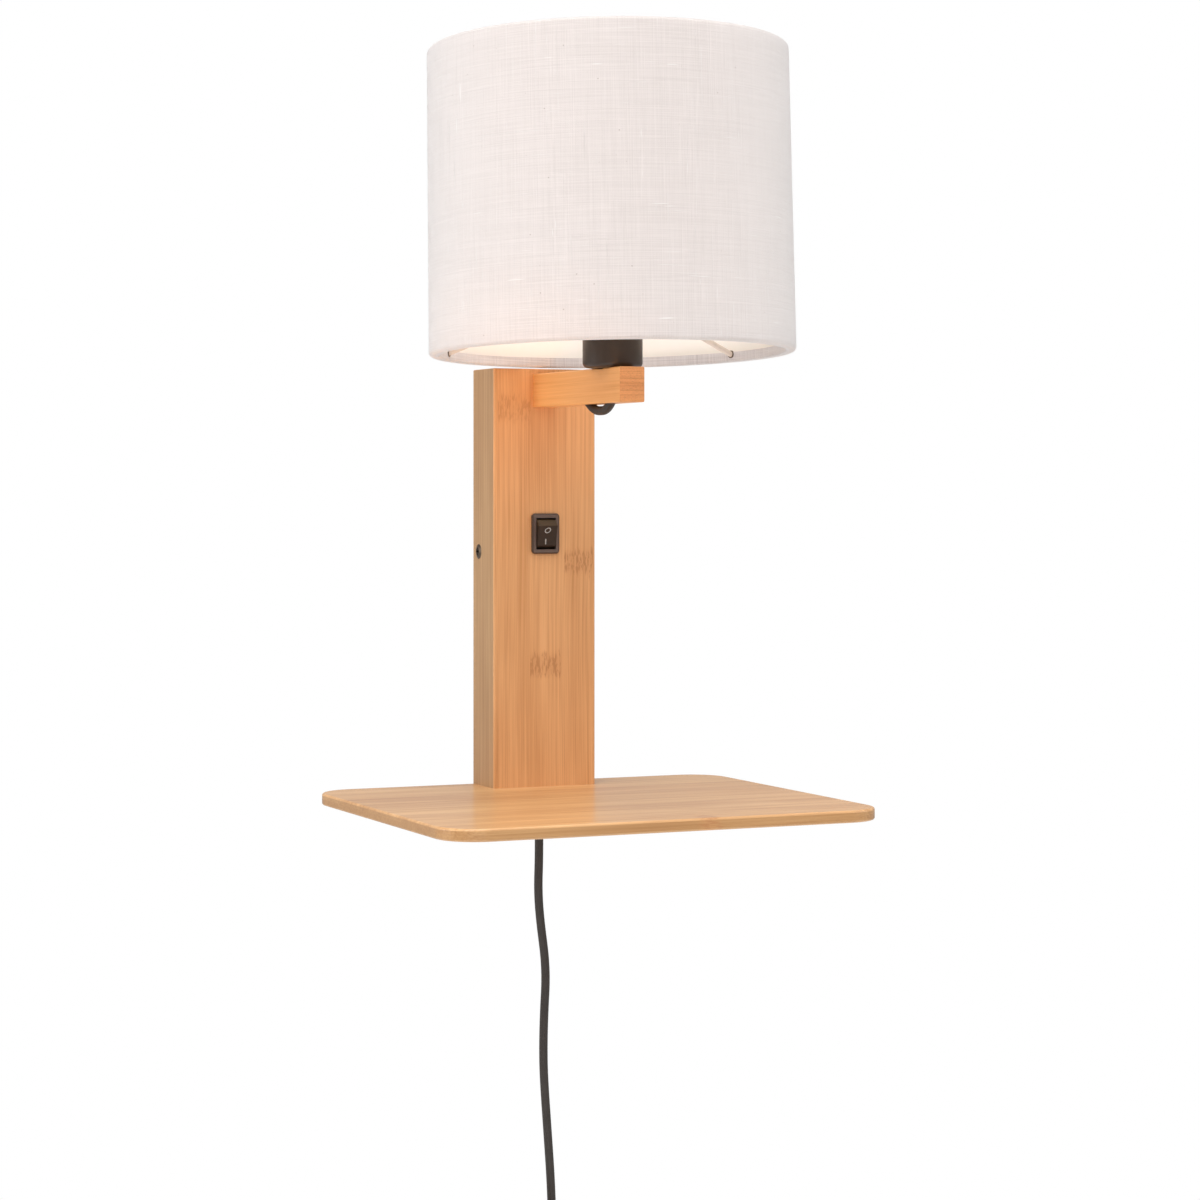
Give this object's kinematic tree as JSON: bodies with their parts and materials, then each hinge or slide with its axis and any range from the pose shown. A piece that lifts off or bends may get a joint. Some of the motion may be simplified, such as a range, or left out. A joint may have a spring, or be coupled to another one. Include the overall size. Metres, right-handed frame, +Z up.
{
  "type": "wall lamp with shelf",
  "caption": "Bamboo wall lamp: a hollow post carries a linen drum shade on a short arm, a rocker switch and a round-cornered shelf at its foot, with a plug-in mains lead.",
  "frame": {"origin": "on the wall plane, halfway between the two screw holes of the wall bracket", "axes": "+X to the right seen from the room, +Y into the wall, +Z up along the post"},
  "size_m": [0.226, 0.2036, 0.7102],
  "materials": {
    "bamboo": "laminated bamboo strips under a matt clear lacquer",
    "zinc_steel": "zinc-plated steel",
    "bronze_steel": "dark bronze-coloured steel",
    "switch_plastic": "fine-grained black nylon",
    "rocker_plastic": "smooth black nylon with grey marks",
    "nylon": "natural nylon",
    "brass": "plain brass",
    "bakelite": "dark brown-black moulded resin, satin",
    "ceramic": "unglazed white ceramic",
    "opal_glass": "opal white glass",
    "nickel_cap": "nickel-plated metal",
    "linen": "plain off-white woven linen with slubs",
    "shade_lining": "cream lining film",
    "cream_wire": "cream powder-coated steel wire",
    "cord_sheath": "matt black flexible sheath",
    "core_insulation": "coloured core insulation",
    "gland_rubber": "matt black soft plastic",
    "tie_plastic": "black plastic strap",
    "plug_plastic": "matt black moulded plug"
  },
  "bodies": {
    "lamp": {"post": "bamboo", "shelf": "bamboo", "arm": "bamboo", "shelf_screws": "zinc_steel", "arm_screws": "zinc_steel", "wall_bracket": "zinc_steel", "side_screws": "bronze_steel", "switch_housing": "switch_plastic", "switch_terminals": "brass", "switch_connectors": "nylon", "cord_grip_base": "nylon", "cord_grip_saddle": "nylon", "grip_screws": "zinc_steel", "terminal_block": "nylon", "terminal_inserts": "brass", "terminal_screws": "zinc_steel", "block_screw": "zinc_steel", "mains_lead_end": "cord_sheath", "supply_cores": "core_insulation", "switch_cores": "core_insulation", "arm_lead": "cord_sheath", "nipple": "zinc_steel", "lampholder_cap": "bakelite", "lampholder_shell": "bakelite", "lampholder_core": "ceramic", "lampholder_screws": "brass", "lampholder_contacts": "brass", "lampholder_cores": "core_insulation", "bulb_glass": "opal_glass", "bulb_base": "nickel_cap", "bulb_foot": "bakelite", "bulb_tip": "brass", "shade_fabric": "linen", "shade_liner": "shade_lining", "shade_top_ring": "cream_wire", "shade_spider": "cream_wire", "shade_rings": "bakelite", "cord_gland": "gland_rubber", "mains_cord": "cord_sheath", "cord_coil": "cord_sheath", "cord_tie": "tie_plastic", "plug_relief": "plug_plastic", "plug_body": "plug_plastic", "plug_pins": "nickel_cap"},
    "rocker": {"switch_rocker": "rocker_plastic", "switch_plunger": "nylon", "switch_spring": "zinc_steel"},
    "contact_bar": {"switch_contact_bar": "brass"}
  },
  "joints": [
    {"name": "switch_rocker_tilt", "type": "hinge", "parent": "lamp", "child": "rocker", "pos_m": [0, -0.0275, 0.0094], "axis": [-1, 0, 0], "range_deg": [0, 22]},
    {"name": "contact_bar_tilt", "type": "hinge", "parent": "lamp", "child": "contact_bar", "pos_m": [0, -0.0213, 0.0094], "axis": [1, 0, 0], "range_deg": [0, 16]}
  ],
  "couplings": [
    {"joint": "contact_bar_tilt", "follows": "switch_rocker_tilt", "ratio": 0.7272}
  ]
}
